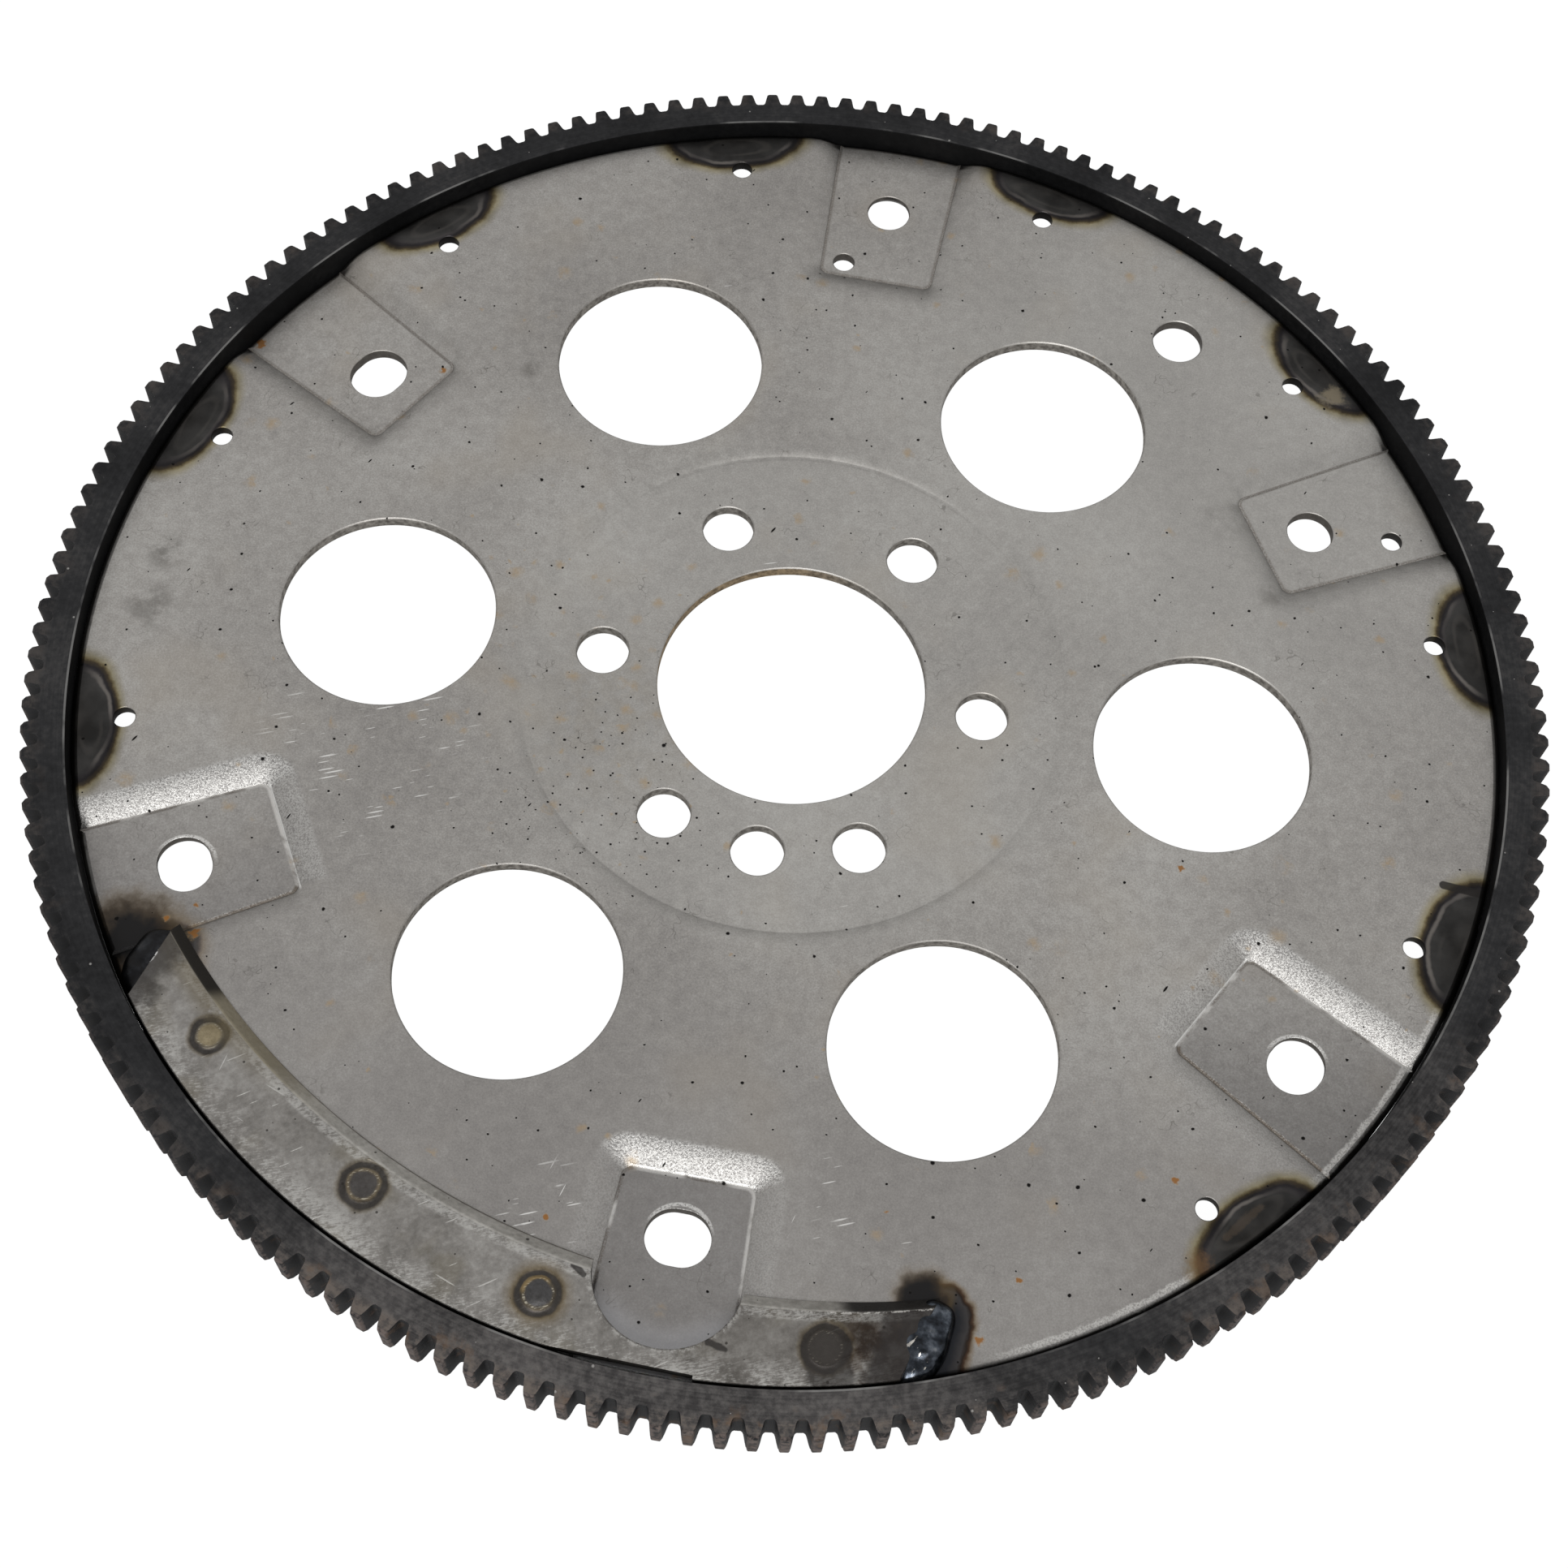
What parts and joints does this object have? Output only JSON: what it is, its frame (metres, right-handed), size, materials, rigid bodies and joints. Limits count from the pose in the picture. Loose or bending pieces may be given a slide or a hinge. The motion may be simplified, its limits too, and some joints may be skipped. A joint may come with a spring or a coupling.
{
  "type": "flexplate",
  "caption": "Pressed steel flexplate with a welded starter ring gear, round lightening holes, recessed converter pads and a curved balance weight.",
  "frame": {"origin": "On the crankshaft axis, level with the ring gear's lower face, which the part rests on", "axes": "+Z along the crankshaft axis towards the engine, so the engine side faces up. +X through the centre of one lightening hole and one crankshaft bolt hole. Angles run counter-clockwise from +X, seen from the engine side."},
  "size_m": [0.356, 0.356, 0.0124],
  "materials": {
    "disc_steel": "dull bare pressed steel, with blue-grey heat marks at the rim and fine specks",
    "ring_steel": "black heat-treated steel with worn, slightly rusty teeth",
    "weight_steel": "dull bare steel with small dents and spot weld marks",
    "weld_metal": "dark glossy rippled weld bead"
  },
  "bodies": {
    "root": {"flexplate_disc": "disc_steel", "ring_gear": "ring_steel", "balance_weight": "weight_steel", "weight_weld_left": "weld_metal", "weight_weld_right": "weld_metal", "stitch_weld_01": "weld_metal", "stitch_weld_02": "weld_metal", "stitch_weld_03": "weld_metal", "stitch_weld_04": "weld_metal", "stitch_weld_05": "weld_metal", "stitch_weld_06": "weld_metal", "stitch_weld_07": "weld_metal", "stitch_weld_08": "weld_metal", "stitch_weld_09": "weld_metal", "stitch_weld_10": "weld_metal", "stitch_weld_11": "weld_metal", "stitch_weld_12": "weld_metal"}
  },
  "joints": []
}
